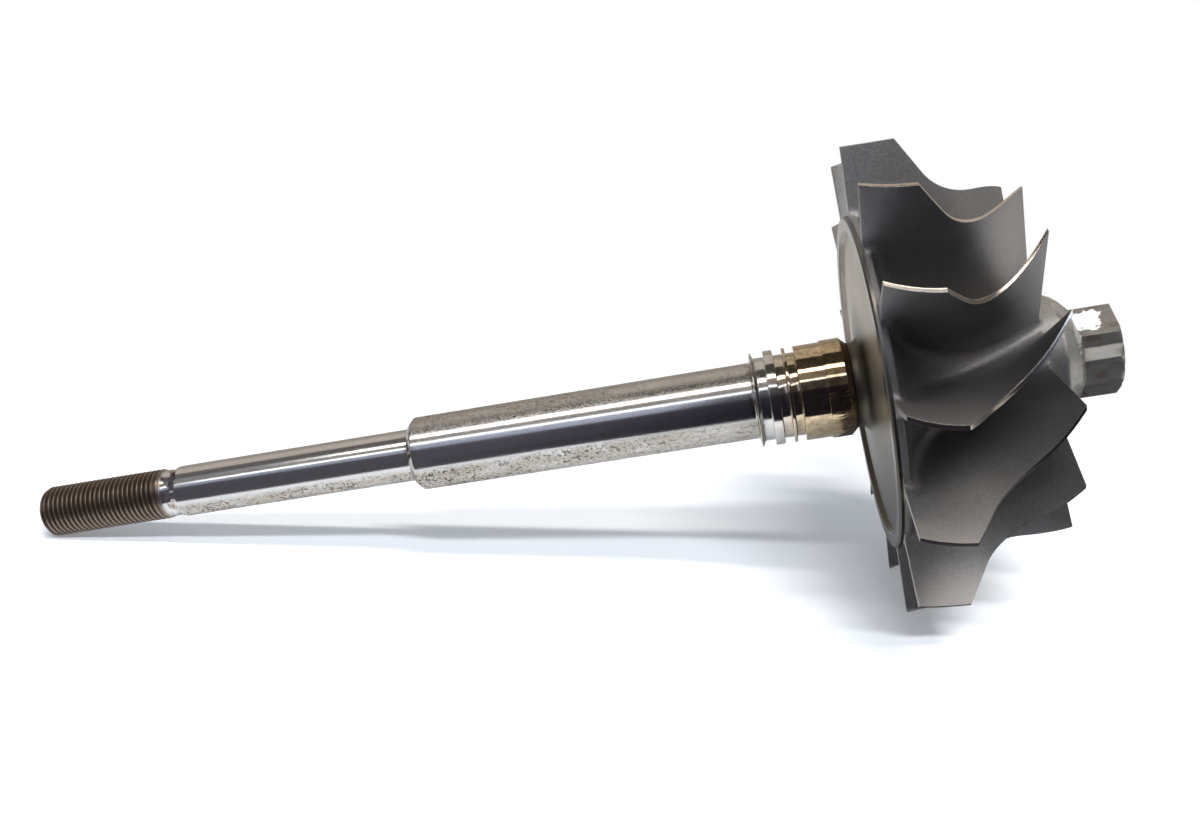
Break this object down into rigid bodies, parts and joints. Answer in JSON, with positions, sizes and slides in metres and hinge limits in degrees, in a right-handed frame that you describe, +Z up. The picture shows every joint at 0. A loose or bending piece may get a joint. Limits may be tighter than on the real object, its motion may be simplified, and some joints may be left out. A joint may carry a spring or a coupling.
{
  "type": "turbine shaft wheel",
  "caption": "Bladed radial-inflow turbine wheel welded to a stepped shaft with bearing journal, seal grooves and threaded end; turns exhaust flow into shaft power.",
  "frame": {"origin": "on the floor below the middle of the rotor's bounding box, lying as it rests", "axes": "+X horizontal, from the threaded end towards the wheel's nose; +Z up; the rotor's axis lies in the XZ plane and rises towards the wheel"},
  "size_m": [0.202, 0.0841, 0.0831],
  "materials": {
    "cast_alloy": "investment-cast nickel alloy, grit-blasted, dark grey with ground blade tips and machined band",
    "ground_steel": "ground and polished, worn, with fine pitting, rust tints and heat colour at the boss"
  },
  "bodies": {
    "root": {"turbine_wheel": "cast_alloy", "shaft": "ground_steel"}
  },
  "joints": []
}
